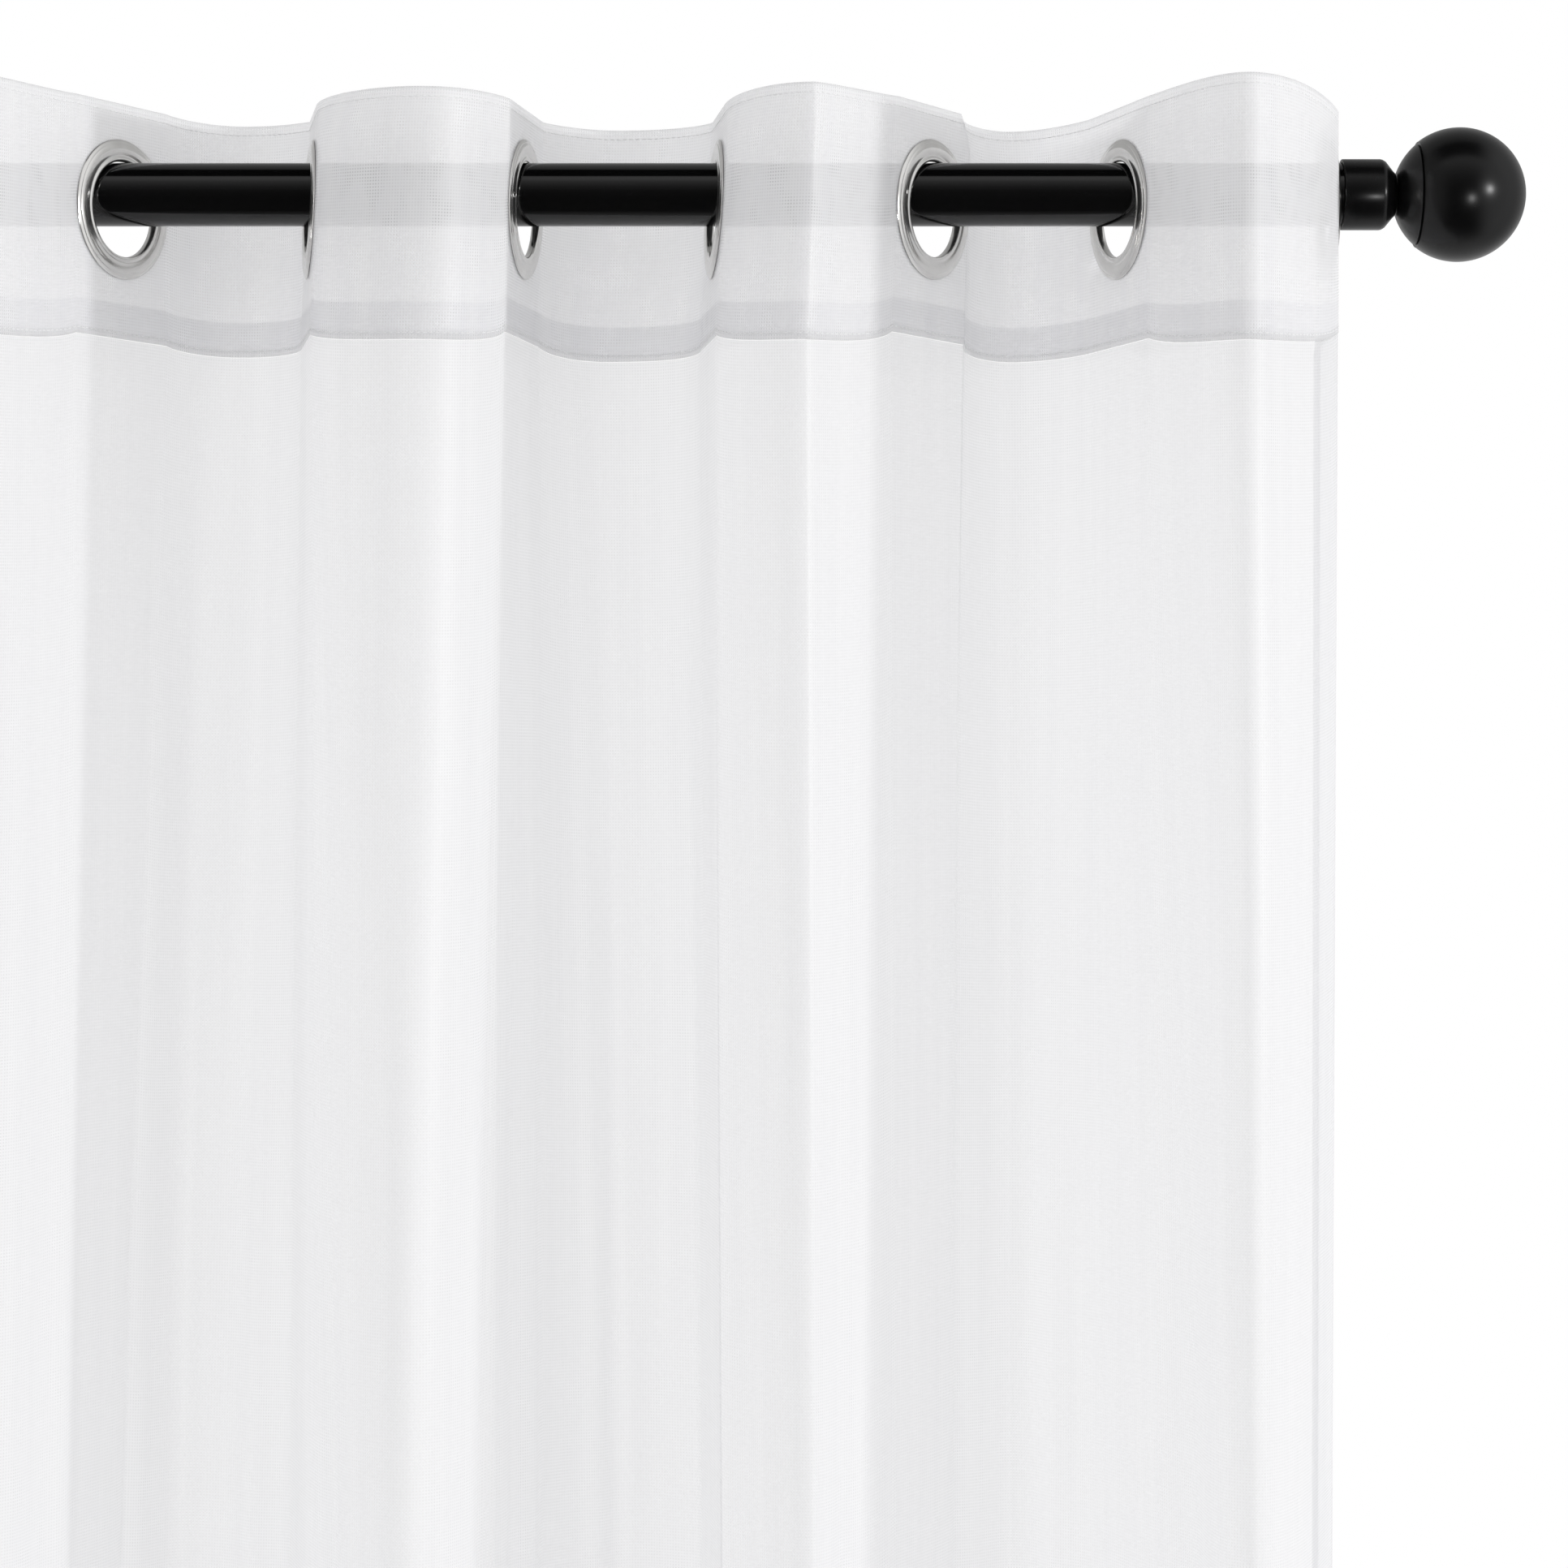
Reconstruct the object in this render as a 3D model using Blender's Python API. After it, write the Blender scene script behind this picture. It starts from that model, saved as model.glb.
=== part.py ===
"""A sheer voile curtain that hangs from a round rod by eight metal eyelets.

Every length below is in millimetres, and MM turns it into Blender's metres.
The origin is on the rod's axis, halfway along it. +X runs along the rod, +Z is up and -Y is
the room side. Seen from the room, the cloth passes in front of the rod at fold 1, behind it at
fold 2, and so on, and each eyelet is where it crosses over.
"""
import math
from collections import namedtuple

import bmesh
import bpy
from mathutils import Vector

MM = 0.001
GAP = 0.3

# Rod
ROD_RADIUS = 12.5
ROD_HALF_LENGTH = 300.2

# Finials, measured along the rod from its middle
COLLAR_RADIUS = 14.0
COLLAR_START = 286.2
COLLAR_CHAMFER_START = 302.7
NECK_RADIUS = 8.5
BALL_CENTRE = 333.0
BALL_RADIUS = 26.5
GROOVE_BEFORE_CENTRE = 16.7
CAP_INSET = 0.3

# Eyelets
BORE_RADIUS = 18.8
LIP_RADIUS = 20.3
RING_CREST_RADIUS = 23.6
FLANGE_RADIUS = 27.7
SLOT_RADIUS = 21.5
SLOT_HALF_WIDTH = 0.9
RING_HALF_THICKNESS = 1.8
EYELET_DROP = BORE_RADIUS - ROD_RADIUS - 1.3 * GAP

# Cloth
HEADING_THICKNESS = 1.2
VOILE_THICKNESS = 1.0
PANEL_LENGTH = 2134.0
HEADING_TOP = 34.5
HOLE_RADIUS = 22.0
SIDE_MARGIN = 36.5
FLAT_AT_EYELET = 28.0
FLAT_AT_HEM = 14.0

# Steps of the meshes
ROUND_STEPS = 24
HALF_FOLD_STEPS = 6
VOILE_ROWS = 12
BALL_STEPS = 9
CAP_STEPS = 4

# One row for each eyelet.
# x: its place along the rod. steep: degrees between the cloth and the rod, seen from above.
# lean: how much the heading tips along the rod there, as a slope.
# drift, hem_steep: how far that crossing has moved sideways at the hem, and its angle there.
# top, seam: heights of the cloth's top edge and of the line where heading and voile meet.
Eyelet = namedtuple("Eyelet", "x steep lean drift hem_steep top seam")
EYELETS = (
    Eyelet(x=-281.2, steep=90, lean=0.0, drift=10.0, hem_steep=84, top=26.0, seam=-59.0),
    Eyelet(x=-198.2, steep=60, lean=0.0, drift=-28.0, hem_steep=74, top=36.0, seam=-57.4),
    Eyelet(x=-123.0, steep=79.3, lean=0.041, drift=-8.0, hem_steep=62, top=34.5, seam=-58.4),
    Eyelet(x=-38.2, steep=80, lean=0.02, drift=-3.0, hem_steep=54, top=34.5, seam=-57.4),
    Eyelet(x=37.9, steep=82.5, lean=0.054, drift=4.0, hem_steep=76, top=34.5, seam=-58.8),
    Eyelet(x=123.9, steep=57, lean=0.03, drift=-6.0, hem_steep=62, top=35.0, seam=-57.0),
    Eyelet(x=198.2, steep=71, lean=0.0, drift=12.0, hem_steep=60, top=34.5, seam=-60.0),
    Eyelet(x=281.2, steep=90, lean=0.0, drift=-3.0, hem_steep=88, top=26.0, seam=-58.0),
)

# One row for each fold, from eyelet to eyelet.
# reach: how far its crown stands off the rod's axis. crown, hem_crown: where the crown lies
# between the two eyelets, from 0 to 1, at the top and at the hem.
# left, right: how full each side is, from 0.3, nearly straight, to 0.7, nearly square.
Fold = namedtuple("Fold", "reach crown hem_crown left right top seam")
FOLDS = (
    Fold(reach=72.0, crown=0.58, hem_crown=0.50, left=0.60, right=0.42, top=35.4, seam=-63.0),
    Fold(reach=45.0, crown=0.51, hem_crown=0.42, left=0.50, right=0.58, top=34.6, seam=-59.8),
    Fold(reach=50.0, crown=0.56, hem_crown=0.62, left=0.50, right=0.34, top=34.3, seam=-63.0),
    Fold(reach=54.0, crown=0.60, hem_crown=0.46, left=0.55, right=0.55, top=34.5, seam=-60.6),
    Fold(reach=58.0, crown=0.44, hem_crown=0.52, left=0.42, right=0.36, top=34.5, seam=-64.0),
    Fold(reach=57.0, crown=0.38, hem_crown=0.50, left=0.52, right=0.45, top=34.5, seam=-60.4),
    Fold(reach=72.0, crown=0.42, hem_crown=0.58, left=0.36, right=0.60, top=35.7, seam=-65.6),
)

Column = namedtuple("Column", "x y top seam")


def clear_scene():
    for thing in list(bpy.data.objects):
        bpy.data.objects.remove(thing, do_unlink=True)


def finish(name, colour, roughness, metallic=0.0):
    material = bpy.data.materials.new(name)
    material.use_nodes = True
    surface = material.node_tree.nodes["Principled BSDF"]
    surface.inputs["Base Color"].default_value = (*colour, 1.0)
    surface.inputs["Roughness"].default_value = roughness
    surface.inputs["Metallic"].default_value = metallic
    material.diffuse_color = (*colour, 1.0)
    return material


def add_object(name, mesh, material=None):
    piece = bpy.data.objects.new(name, mesh)
    bpy.context.scene.collection.objects.link(piece)
    if material:
        mesh.materials.append(material)
    return piece


def turned(name, profile, closed=False):
    """Turn (radius, height) points about Z. A radius of 0 makes a pole, and a closed profile
    makes a ring."""
    builder = bmesh.new()
    rings = []
    for radius, height in profile:
        count = ROUND_STEPS if radius > 0 else 1
        turns = [2 * math.pi * step / ROUND_STEPS for step in range(count)]
        rings.append([
            builder.verts.new(Vector((radius * math.cos(turn), radius * math.sin(turn), height)) * MM)
            for turn in turns
        ])
    pairs = list(zip(rings, rings[1:]))
    if closed:
        pairs.append((rings[-1], rings[0]))
    for lower, upper in pairs:
        for step in range(ROUND_STEPS):
            after = (step + 1) % ROUND_STEPS
            corners = [lower[step % len(lower)], lower[after % len(lower)],
                       upper[after % len(upper)], upper[step % len(upper)]]
            builder.faces.new(list(dict.fromkeys(corners)))
    bmesh.ops.recalc_face_normals(builder, faces=builder.faces)
    mesh = bpy.data.meshes.new(name)
    builder.to_mesh(mesh)
    builder.free()
    mesh.shade_smooth()
    mesh.set_sharp_from_angle(angle=math.radians(40))
    return mesh


def place_along(piece, axis, centre=(0, 0, 0)):
    """Turn a piece so that its Z runs along an axis, and its Y points up."""
    piece.rotation_euler = Vector(axis).to_track_quat("Z", "Y").to_euler()
    piece.location = Vector(centre) * MM


def cubic(start, first, second, end, t):
    rest = 1 - t
    return (start * rest ** 3 + first * 3 * rest ** 2 * t
            + second * 3 * rest * t ** 2 + end * t ** 3)


def crossing(index, fall, edge="seam"):
    """Where the cloth crosses the rod's plane, and its direction there, seen from above.
    fall runs from 0 at the heading to 1 at the hem. edge is top or seam."""
    row = EYELETS[index]
    steep = math.radians(row.steep + (row.hem_steep - row.steep) * fall)
    to_back = 1 if index % 2 else -1
    tipped = row.lean * (getattr(row, edge) + EYELET_DROP) * (1 - fall)
    return (Vector((row.x + tipped + row.drift * fall, 0.0)),
            Vector((math.cos(steep), to_back * math.sin(steep))))


def flat_half(fall):
    return FLAT_AT_EYELET + (FLAT_AT_HEM - FLAT_AT_EYELET) * fall


def fold_line(index, fall, reach, edge="seam"):
    """The fold's points from one flat stretch to the next, with each point's share of the way
    from the crown to the eyelet, from 0 to 1."""
    row = FOLDS[index]
    start, leaving = crossing(index, fall, edge)
    end, arriving = crossing(index + 1, fall, edge)
    start = start + leaving * flat_half(fall)
    end = end - arriving * flat_half(fall)
    share = row.crown + (row.hem_crown - row.crown) * fall
    to_back = 1 if index % 2 else -1
    crown = Vector((start.x + (end.x - start.x) * share, to_back * reach))
    along = Vector((1.0, 0.0))
    left = (start,
            start + leaving * row.left * abs(crown.y - start.y),
            crown - along * row.left * abs(crown.x - start.x),
            crown)
    right = (crown,
             crown + along * row.right * abs(end.x - crown.x),
             end - arriving * row.right * abs(crown.y - end.y),
             end)
    steps = [step / HALF_FOLD_STEPS for step in range(HALF_FOLD_STEPS + 1)]
    points = [(cubic(*left, t), 1 - t) for t in steps]
    points += [(cubic(*right, t), t) for t in steps[1:]]
    return points


def line_length(points):
    return sum((b[0] - a[0]).length for a, b in zip(points, points[1:]))


def cloth_between(index):
    """Length of cloth from eyelet to eyelet, which is the same at every height."""
    return line_length(fold_line(index, 0, FOLDS[index].reach)) + 2 * flat_half(0)


def reach_at(index, fall):
    """How far the crown stands off lower down, where the same cloth fills another outline."""
    wanted = cloth_between(index) - 2 * flat_half(fall)
    low, high = flat_half(fall) * 0.6, 3 * FOLDS[index].reach
    for _ in range(40):
        middle = (low + high) / 2
        if line_length(fold_line(index, fall, middle)) < wanted:
            low = middle
        else:
            high = middle
    return low


def plan(fall, edge="seam"):
    """The cloth seen from above at one height, as columns from its left edge to its right."""
    columns = []
    for index, row in enumerate(EYELETS):
        centre, direction = crossing(index, fall, edge)
        flat = flat_half(fall)
        spots = [centre - direction * flat, centre + direction * flat]
        if index == 0:
            spots.insert(0, centre - direction * SIDE_MARGIN)
        if index == len(EYELETS) - 1:
            spots.append(centre + direction * SIDE_MARGIN)
        columns += [Column(spot.x, spot.y, row.top, row.seam) for spot in spots]
        if index < len(FOLDS):
            columns += fold_columns(index, fall, edge)
    return columns


def fold_columns(index, fall, edge):
    fold = FOLDS[index]
    reach = reach_at(index, fall) if fall else fold.reach
    points = fold_line(index, fall, reach, edge)
    columns = []
    for number, (point, share) in enumerate(points[1:-1]):
        near = EYELETS[index] if number < HALF_FOLD_STEPS else EYELETS[index + 1]
        bend = share ** 2
        columns.append(Column(point.x, point.y,
                              fold.top + (near.top - fold.top) * bend,
                              fold.seam + (near.seam - fold.seam) * bend))
    return columns


def sheet(name, rows, thickness, material):
    """A thin closed sheet through rows of points."""
    width = len(rows[0])
    points = [Vector(point) * MM for row in rows for point in row]
    faces = []
    for row in range(len(rows) - 1):
        for column in range(width - 1):
            corner = row * width + column
            faces.append((corner, corner + width, corner + width + 1, corner + 1))
    mesh = bpy.data.meshes.new(name)
    mesh.from_pydata(points, [], faces)
    mesh.shade_smooth()
    piece = add_object(name, mesh, material)
    thicken = piece.modifiers.new("thickness", "SOLIDIFY")
    thicken.thickness = thickness * MM
    thicken.offset = 0
    thicken.use_even_offset = True
    return piece


def eyelet_axis(index):
    """Square to the cloth at the eyelet, which tips with it."""
    along = crossing(index, 0)[1].to_3d()
    return along.cross(Vector((EYELETS[index].lean, 0.0, 1.0)))


def eyelet_centre(index):
    return (EYELETS[index].x, 0.0, -EYELET_DROP)


def make_rod(black):
    half = ROD_HALF_LENGTH
    profile = [(0, -half), (ROD_RADIUS, -half), (ROD_RADIUS, half), (0, half)]
    rod = add_object("rod", turned("rod", profile), black)
    place_along(rod, (1, 0, 0))


def ball_profile(radius, first_turn, last_turn, steps):
    """Points on a ball about BALL_CENTRE. Turns are degrees from the side next to the rod."""
    turns = [math.radians(first_turn + (last_turn - first_turn) * step / steps)
             for step in range(steps + 1)]
    return [(radius * math.sin(turn), BALL_CENTRE - radius * math.cos(turn)) for turn in turns]


def make_finials(black):
    """Each end of the rod: a collar over the tube, then a cap and a ball with a groove between."""
    neck_end = BALL_CENTRE - math.sqrt(BALL_RADIUS ** 2 - NECK_RADIUS ** 2)
    socket_end = ROD_HALF_LENGTH + GAP
    collar = [
        (0, socket_end), (ROD_RADIUS + GAP, socket_end), (ROD_RADIUS + GAP, COLLAR_START),
        (COLLAR_RADIUS, COLLAR_START), (COLLAR_RADIUS, COLLAR_CHAMFER_START),
        (NECK_RADIUS, neck_end - GAP), (0, neck_end - GAP),
    ]
    cap_radius = BALL_RADIUS - CAP_INSET
    cap_start = math.degrees(math.asin(NECK_RADIUS / cap_radius))
    cap_end = math.degrees(math.acos((GROOVE_BEFORE_CENTRE + GAP / 2) / cap_radius))
    cap = ball_profile(cap_radius, cap_start, cap_end, CAP_STEPS)
    cap = [(0, cap[0][1])] + cap + [(0, cap[-1][1])]
    ball_start = math.degrees(math.acos((GROOVE_BEFORE_CENTRE - GAP / 2) / BALL_RADIUS))
    ball = ball_profile(BALL_RADIUS, ball_start, 180, BALL_STEPS)
    ball = [(0, ball[0][1])] + ball[:-1] + [(0, ball[-1][1])]
    for piece_name, profile in (("collar", collar), ("finial_cap", cap), ("finial", ball)):
        mesh = turned(piece_name, profile)
        mesh.materials.append(black)
        for side, axis in (("left", (-1, 0, 0)), ("right", (1, 0, 0))):
            place_along(add_object(piece_name + "_" + side, mesh), axis)


def make_eyelets(nickel):
    half = [
        (LIP_RADIUS, 0.85 * RING_HALF_THICKNESS),
        (RING_CREST_RADIUS, RING_HALF_THICKNESS),
        (FLANGE_RADIUS - 1.2, 0.8 * RING_HALF_THICKNESS),
        (FLANGE_RADIUS, SLOT_HALF_WIDTH),
        (SLOT_RADIUS, SLOT_HALF_WIDTH),
    ]
    other_half = [(radius, -height) for radius, height in reversed(half)]
    mesh = turned("eyelet", [(BORE_RADIUS, 0)] + half + other_half, closed=True)
    mesh.materials.append(nickel)
    for index in range(len(EYELETS)):
        ring = add_object("eyelet_" + str(index + 1), mesh)
        place_along(ring, eyelet_axis(index), eyelet_centre(index))


def make_hole_cutter():
    """Eight short drums, one at each eyelet."""
    drum = turned("hole", [(0, -3), (HOLE_RADIUS, -3), (HOLE_RADIUS, 3), (0, 3)])
    builder = bmesh.new()
    for index in range(len(EYELETS)):
        copy = drum.copy()
        turn = eyelet_axis(index).to_track_quat("Z", "Y").to_matrix().to_4x4()
        turn.translation = Vector(eyelet_centre(index)) * MM
        copy.transform(turn)
        builder.from_mesh(copy)
        bpy.data.meshes.remove(copy)
    mesh = bpy.data.meshes.new("hole_cutter")
    builder.to_mesh(mesh)
    builder.free()
    cutter = add_object("hole_cutter", mesh)
    cutter.display_type = "WIRE"
    cutter.hide_render = True
    return cutter


def make_heading(white):
    rows = [[(column.x, column.y, column.top) for column in plan(0, "top")],
            [(column.x, column.y, column.seam) for column in plan(0, "seam")]]
    heading = sheet("heading", rows, HEADING_THICKNESS, white)
    holes = heading.modifiers.new("holes", "BOOLEAN")
    holes.operation = "DIFFERENCE"
    holes.solver = "EXACT"
    holes.object = make_hole_cutter()


def make_voile(white):
    """The sheer panel. Its folds drift and open out on the way down to the hem."""
    hem = HEADING_TOP - PANEL_LENGTH
    rows = []
    for number in range(VOILE_ROWS + 1):
        share = (number / VOILE_ROWS) ** 1.4
        fall = 1 - (1 - share) ** 1.8
        row = []
        for column in plan(fall):
            start = column.seam - GAP
            row.append((column.x, column.y, start + (hem - start) * share))
        rows.append(row)
    sheet("voile", rows, VOILE_THICKNESS, white)


def build():
    clear_scene()
    satin_black = finish("satin_black_metal", (0.012, 0.012, 0.013), 0.35)
    polished_nickel = finish("polished_nickel", (0.62, 0.61, 0.59), 0.15, metallic=1.0)
    heading_white = finish("doubled_voile", (0.86, 0.86, 0.87), 0.9)
    voile_white = finish("sheer_voile", (0.92, 0.92, 0.93), 0.9)
    make_rod(satin_black)
    make_finials(satin_black)
    make_eyelets(polished_nickel)
    make_heading(heading_white)
    make_voile(voile_white)


build()
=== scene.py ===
"""Looks for a sheer voile curtain on a black rod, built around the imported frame.

Lengths are in millimetres, and MM turns them into Blender's metres. The origin is on the rod's
axis, halfway along it. +X runs along the rod, +Z is up and -Y is the room side.
"""
import math
from collections import namedtuple

import bmesh
import bpy
from mathutils import Matrix, Vector


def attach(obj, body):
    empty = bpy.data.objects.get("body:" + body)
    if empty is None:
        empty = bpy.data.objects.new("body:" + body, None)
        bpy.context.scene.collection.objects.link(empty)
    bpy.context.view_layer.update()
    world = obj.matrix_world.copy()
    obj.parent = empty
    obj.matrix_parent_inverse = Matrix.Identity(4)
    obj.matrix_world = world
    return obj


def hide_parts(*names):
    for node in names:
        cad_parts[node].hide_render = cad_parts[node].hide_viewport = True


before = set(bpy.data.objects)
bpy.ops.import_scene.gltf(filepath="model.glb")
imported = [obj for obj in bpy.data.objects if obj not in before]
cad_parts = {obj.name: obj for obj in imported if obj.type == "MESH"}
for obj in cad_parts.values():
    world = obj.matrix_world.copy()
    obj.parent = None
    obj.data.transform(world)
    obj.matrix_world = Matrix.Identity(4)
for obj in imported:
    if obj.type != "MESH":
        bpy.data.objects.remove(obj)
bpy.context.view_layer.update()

MM = 0.001

# Camera, level, looking along +Y
CAMERA_AT = (65.0, -1551.0, -234.2)
FOCAL_PIXELS = 4808.0
FRAME_PIXELS = 1932.0
SENSOR = 36.0
LAMP_DISTANCE = 4.0
FLOOR_HALF = 6.0

# Rod and finials, measured along the rod from its middle
ROD_RADIUS = 12.5
ROD_HALF_LENGTH = 300.2
GAP = 0.3
COLLAR_RADIUS = 14.0
COLLAR_START = 286.2
COLLAR_CHAMFER_START = 302.7
NECK_RADIUS = 8.5
BALL_CENTRE = 333.0
BALL_RADIUS = 26.5
GROOVE_BEFORE_CENTRE = 16.7
CAP_INSET = 0.3

# Eyelets
BORE_RADIUS = 18.8
FLANGE_RADIUS = 27.7
HOLE_RADIUS = 22.0
EYELET_DROP = BORE_RADIUS - ROD_RADIUS - 1.3 * GAP

# Cloth
PANEL_LENGTH = 2134.0
PANEL_WIDTH = 1155.0
HEADING_TOP = 34.5
HEADING_LENGTH = 94.0
SIDE_MARGIN = 36.5
HEADING_THICKNESS = 0.55
STRIP_THICKNESS = 0.25
TURN_IN = 14.0
SIDE_HEM = 22.0
BOTTOM_HEM = 60.0
HEM_OFF = 0.6
FLOOR = HEADING_TOP - PANEL_LENGTH - 15.0

# How far the cloth stays flat to each side of an eyelet, at the seam and at the hem. Above the
# rings it is free and rounds sooner after some eyelets, given by their number from 0.
FLAT_AT_EYELET = 28.0
FLAT_AT_HEM = 14.0
FLAT_AT_TOP = {2: 13.0, 4: 15.0, 5: 20.0}
RING_TOP_SHARE = 0.17

# Rows of stitches, as shares of the way down the heading and millimetres in from a hem's edge
SEAM_STITCHES = 0.975
TOP_STITCHES = 0.039
STITCHES_IN = 2.0

# A backward corner has relaxed at one over this share of the fall
CORNER_RELAXES = 2.5

# Mesh steps
FLAT_SPOTS = (-1.0, -0.94, -0.75, -0.5, -0.25, 0.0, 0.25, 0.5, 0.75, 0.94, 1.0)
HALF_FOLD_STEPS = 20
HEADING_ROWS = 22
VOILE_ROWS = 96
TURN_STEPS = 96

# Eyelets. x: its place along the rod. steep: degrees between the cloth and the rod, seen from
# above. lean: how far the cloth tips along the rod. drift, hem_steep: how far it wanders and how
# steep it is by the hem. top, seam: heights of the heading's edges.
Eyelet = namedtuple("Eyelet", "x steep lean drift hem_steep top seam")
EYELETS = (
    Eyelet(x=-281.2, steep=90, lean=0.0, drift=10.0, hem_steep=84, top=26.0, seam=-59.0),
    Eyelet(x=-198.2, steep=60, lean=0.0, drift=-28.0, hem_steep=74, top=36.0, seam=-57.4),
    Eyelet(x=-123.0, steep=79.3, lean=0.041, drift=-8.0, hem_steep=62, top=33.6, seam=-58.4),
    Eyelet(x=-38.2, steep=80, lean=0.02, drift=-3.0, hem_steep=54, top=33.4, seam=-57.4),
    Eyelet(x=37.9, steep=82.5, lean=0.054, drift=4.0, hem_steep=76, top=33.4, seam=-58.8),
    Eyelet(x=123.9, steep=57, lean=0.03, drift=-6.0, hem_steep=62, top=35.0, seam=-57.0),
    Eyelet(x=198.2, steep=71, lean=0.0, drift=12.0, hem_steep=60, top=34.5, seam=-60.0),
    Eyelet(x=281.2, steep=90, lean=0.0, drift=-3.0, hem_steep=88, top=28.0, seam=-58.0),
)

# Folds between the eyelets. reach: how far the crown stands off the rod. crown, hem_crown: share
# of the way across where the crown is. left, right: how flat the crown is on each side. corner:
# degrees that the cloth turns at once where it leaves a stiff eyelet zone. foot: how far it then
# runs on before it bends towards the crown.
Fold = namedtuple("Fold", "reach crown hem_crown left right corner_left corner_right foot_left "
                          "foot_right top seam")
FOLDS = (
    Fold(72.0, 0.58, 0.50, 0.60, 0.16, 0, 6, 0.24, 0.24, top=35.4, seam=-63.0),
    Fold(45.0, 0.51, 0.42, 0.50, 0.58, 14, 4, 0.26, 0.26, top=34.6, seam=-59.8),
    Fold(50.0, 0.57, 0.58, 0.44, 0.58, 2, 32, 0.50, 0.24, top=34.3, seam=-63.0),
    Fold(54.0, 0.42, 0.46, 0.45, 0.75, 8, 2, 0.50, 0.30, top=34.5, seam=-60.6),
    Fold(58.0, 0.50, 0.52, 0.46, 0.16, 2, 12, 0.50, 0.24, top=34.5, seam=-64.0),
    Fold(57.0, 0.40, 0.50, 0.34, 0.45, -36, 6, 0.62, 0.26, top=34.5, seam=-60.4),
    Fold(72.0, 0.46, 0.52, 0.40, 0.38, 14, 34, 0.34, 0.24, top=35.7, seam=-65.6),
)

# Soft creases in the voile.
# at: fold number and share of the way across it, as 2.3 for three tenths across fold 2.
# slant: how far it wanders across by the hem. width, depth: millimetres, with a negative depth
# for a ridge towards the room. start, end: shares of the way down. power: 2 for a soft crease and
# near 1 for one with a sharp line.
Crease = namedtuple("Crease", "at slant width depth start end power", defaults=(2.0,))
CREASES = (
    Crease(at=0.62, slant=10, width=7, depth=5.1, start=0.00, end=0.60),
    Crease(at=0.86, slant=-6, width=6, depth=-5.1, start=0.02, end=0.90),
    Crease(at=1.17, slant=5, width=5, depth=3.7, start=0.00, end=0.70, power=1.1),
    Crease(at=1.36, slant=14, width=10, depth=7.6, start=0.00, end=0.80),
    Crease(at=1.68, slant=-12, width=9, depth=-7.6, start=0.05, end=1.00),
    Crease(at=2.24, slant=8, width=9, depth=6.1, start=0.00, end=0.90, power=1.2),
    Crease(at=2.52, slant=-9, width=10, depth=-5.1, start=0.08, end=1.00),
    Crease(at=2.80, slant=4, width=5, depth=4.1, start=0.00, end=0.55),
    Crease(at=2.97, slant=4, width=4, depth=4.1, start=0.00, end=0.45, power=1.0),
    Crease(at=3.07, slant=-5, width=5, depth=-4.4, start=0.01, end=0.70, power=1.0),
    Crease(at=3.38, slant=10, width=10, depth=-7.8, start=0.00, end=0.90),
    Crease(at=3.72, slant=-8, width=8, depth=7.1, start=0.04, end=0.75, power=1.3),
    Crease(at=4.22, slant=5, width=8, depth=-4.8, start=0.00, end=0.65),
    Crease(at=4.62, slant=9, width=6, depth=4.4, start=0.03, end=1.00, power=1.2),
    Crease(at=5.28, slant=-10, width=9, depth=7.5, start=0.00, end=0.80, power=1.2),
    Crease(at=5.62, slant=8, width=10, depth=-7.8, start=0.06, end=1.00),
    Crease(at=6.22, slant=12, width=12, depth=6.1, start=0.02, end=0.85),
    Crease(at=6.44, slant=-10, width=9, depth=-5.4, start=0.10, end=1.00, power=1.2),
)

# Cloth from each eyelet to the next, laid flat
BETWEEN = (180.1, 126.5, 148.7, 148.0, 154.2, 142.8, 181.7)

Row = namedtuple("Row", "points flats")


def linear(code):
    """An sRGB hex colour as the linear colour that a shader socket takes."""
    parts = [int(code[start:start + 2], 16) / 255 for start in (1, 3, 5)]
    return (*[part / 12.92 if part <= 0.04045 else ((part + 0.055) / 1.055) ** 2.4
              for part in parts], 1.0)


def node(tree, kind, inputs=(), **settings):
    """Add a node with its settings, and set or link its inputs, given as {name or number: value
    or socket}."""
    made = tree.nodes.new(kind)
    for name, value in settings.items():
        setattr(made, name, value)
    for name, value in dict(inputs).items():
        socket = made.inputs[name]
        if isinstance(value, bpy.types.NodeSocket):
            tree.links.new(value, socket)
        else:
            socket.default_value = value
    return made


def new_material(name):
    material = bpy.data.materials.new(name)
    material.use_nodes = True
    material.node_tree.nodes.clear()
    return material, material.node_tree


def link_piece(name, mesh):
    piece = bpy.data.objects.new(name, mesh)
    bpy.context.scene.collection.objects.link(piece)
    return piece


# Shape of the cloth

def cubic(start, first, second, end, t):
    rest = 1 - t
    return (start * rest ** 3 + first * 3 * rest ** 2 * t
            + second * 3 * rest * t ** 2 + end * t ** 3)


def crossing(index, fall, edge="seam"):
    """Where the cloth crosses the rod's plane and its direction there, seen from above."""
    row = EYELETS[index]
    steep = math.radians(row.steep + (row.hem_steep - row.steep) * fall)
    to_back = 1 if index % 2 else -1
    tipped = row.lean * (getattr(row, edge) + EYELET_DROP) * (1 - fall)
    return (Vector((row.x + tipped + row.drift * fall, 0.0)),
            Vector((math.cos(steep), to_back * math.sin(steep))))


def flat_half(fall):
    return FLAT_AT_EYELET + (FLAT_AT_HEM - FLAT_AT_EYELET) * fall


def turned(direction, corner):
    """A direction seen from above, brought nearer to the rod's by a corner in degrees."""
    steep = math.atan2(direction.y, direction.x)
    steep -= math.radians(corner) * (1 if steep > 0 else -1)
    return Vector((math.cos(steep), math.sin(steep)))


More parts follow.
